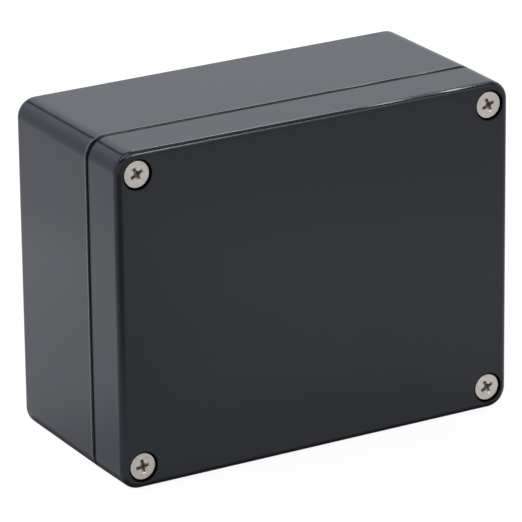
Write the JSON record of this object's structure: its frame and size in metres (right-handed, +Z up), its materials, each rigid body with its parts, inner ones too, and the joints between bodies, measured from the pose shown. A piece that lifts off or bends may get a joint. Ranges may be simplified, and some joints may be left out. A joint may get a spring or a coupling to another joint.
{
  "type": "plastic project box",
  "caption": "Sealed plastic enclosure with a deep screwed lid, a gasketed tongue-and-groove rim, brass-lined corner posts, board standoffs and hidden wall mounting wells.",
  "frame": {"origin": "middle of the footprint on the surface the box stands on, at z = 0", "axes": "+X along the width, to the right as the lid is seen; +Y from the lid towards the back; +Z up along the height"},
  "size_m": [0.115, 0.055, 0.09],
  "materials": {
    "base_plastic": "smooth satin moulded ABS, dark grey",
    "lid_plastic": "smooth satin moulded ABS, dark grey",
    "seal_rubber": "matt neoprene strip",
    "screw_steel": "bright nickel-plated steel",
    "insert_brass": "turned brass"
  },
  "bodies": {
    "base": {"base": "base_plastic", "insert_lower_left": "insert_brass", "insert_lower_right": "insert_brass", "insert_upper_left": "insert_brass", "insert_upper_right": "insert_brass"},
    "lid": {"lid": "lid_plastic", "gasket": "seal_rubber"},
    "lid_screw_lower_left": {"lid_screw_lower_left": "screw_steel"},
    "lid_screw_lower_right": {"lid_screw_lower_right": "screw_steel"},
    "lid_screw_upper_left": {"lid_screw_upper_left": "screw_steel"},
    "lid_screw_upper_right": {"lid_screw_upper_right": "screw_steel"}
  },
  "joints": [
    {"name": "lid_off", "type": "slide", "parent": "base", "child": "lid", "axis": [0, -1, 0], "range_m": [0, 0.06]},
    {"name": "undo_lid_screw_lower_left", "type": "slide", "parent": "lid", "child": "lid_screw_lower_left", "axis": [0, -1, 0], "range_m": [0, 0.024]},
    {"name": "undo_lid_screw_lower_right", "type": "slide", "parent": "lid", "child": "lid_screw_lower_right", "axis": [0, -1, 0], "range_m": [0, 0.024]},
    {"name": "undo_lid_screw_upper_left", "type": "slide", "parent": "lid", "child": "lid_screw_upper_left", "axis": [0, -1, 0], "range_m": [0, 0.024]},
    {"name": "undo_lid_screw_upper_right", "type": "slide", "parent": "lid", "child": "lid_screw_upper_right", "axis": [0, -1, 0], "range_m": [0, 0.024]}
  ]
}
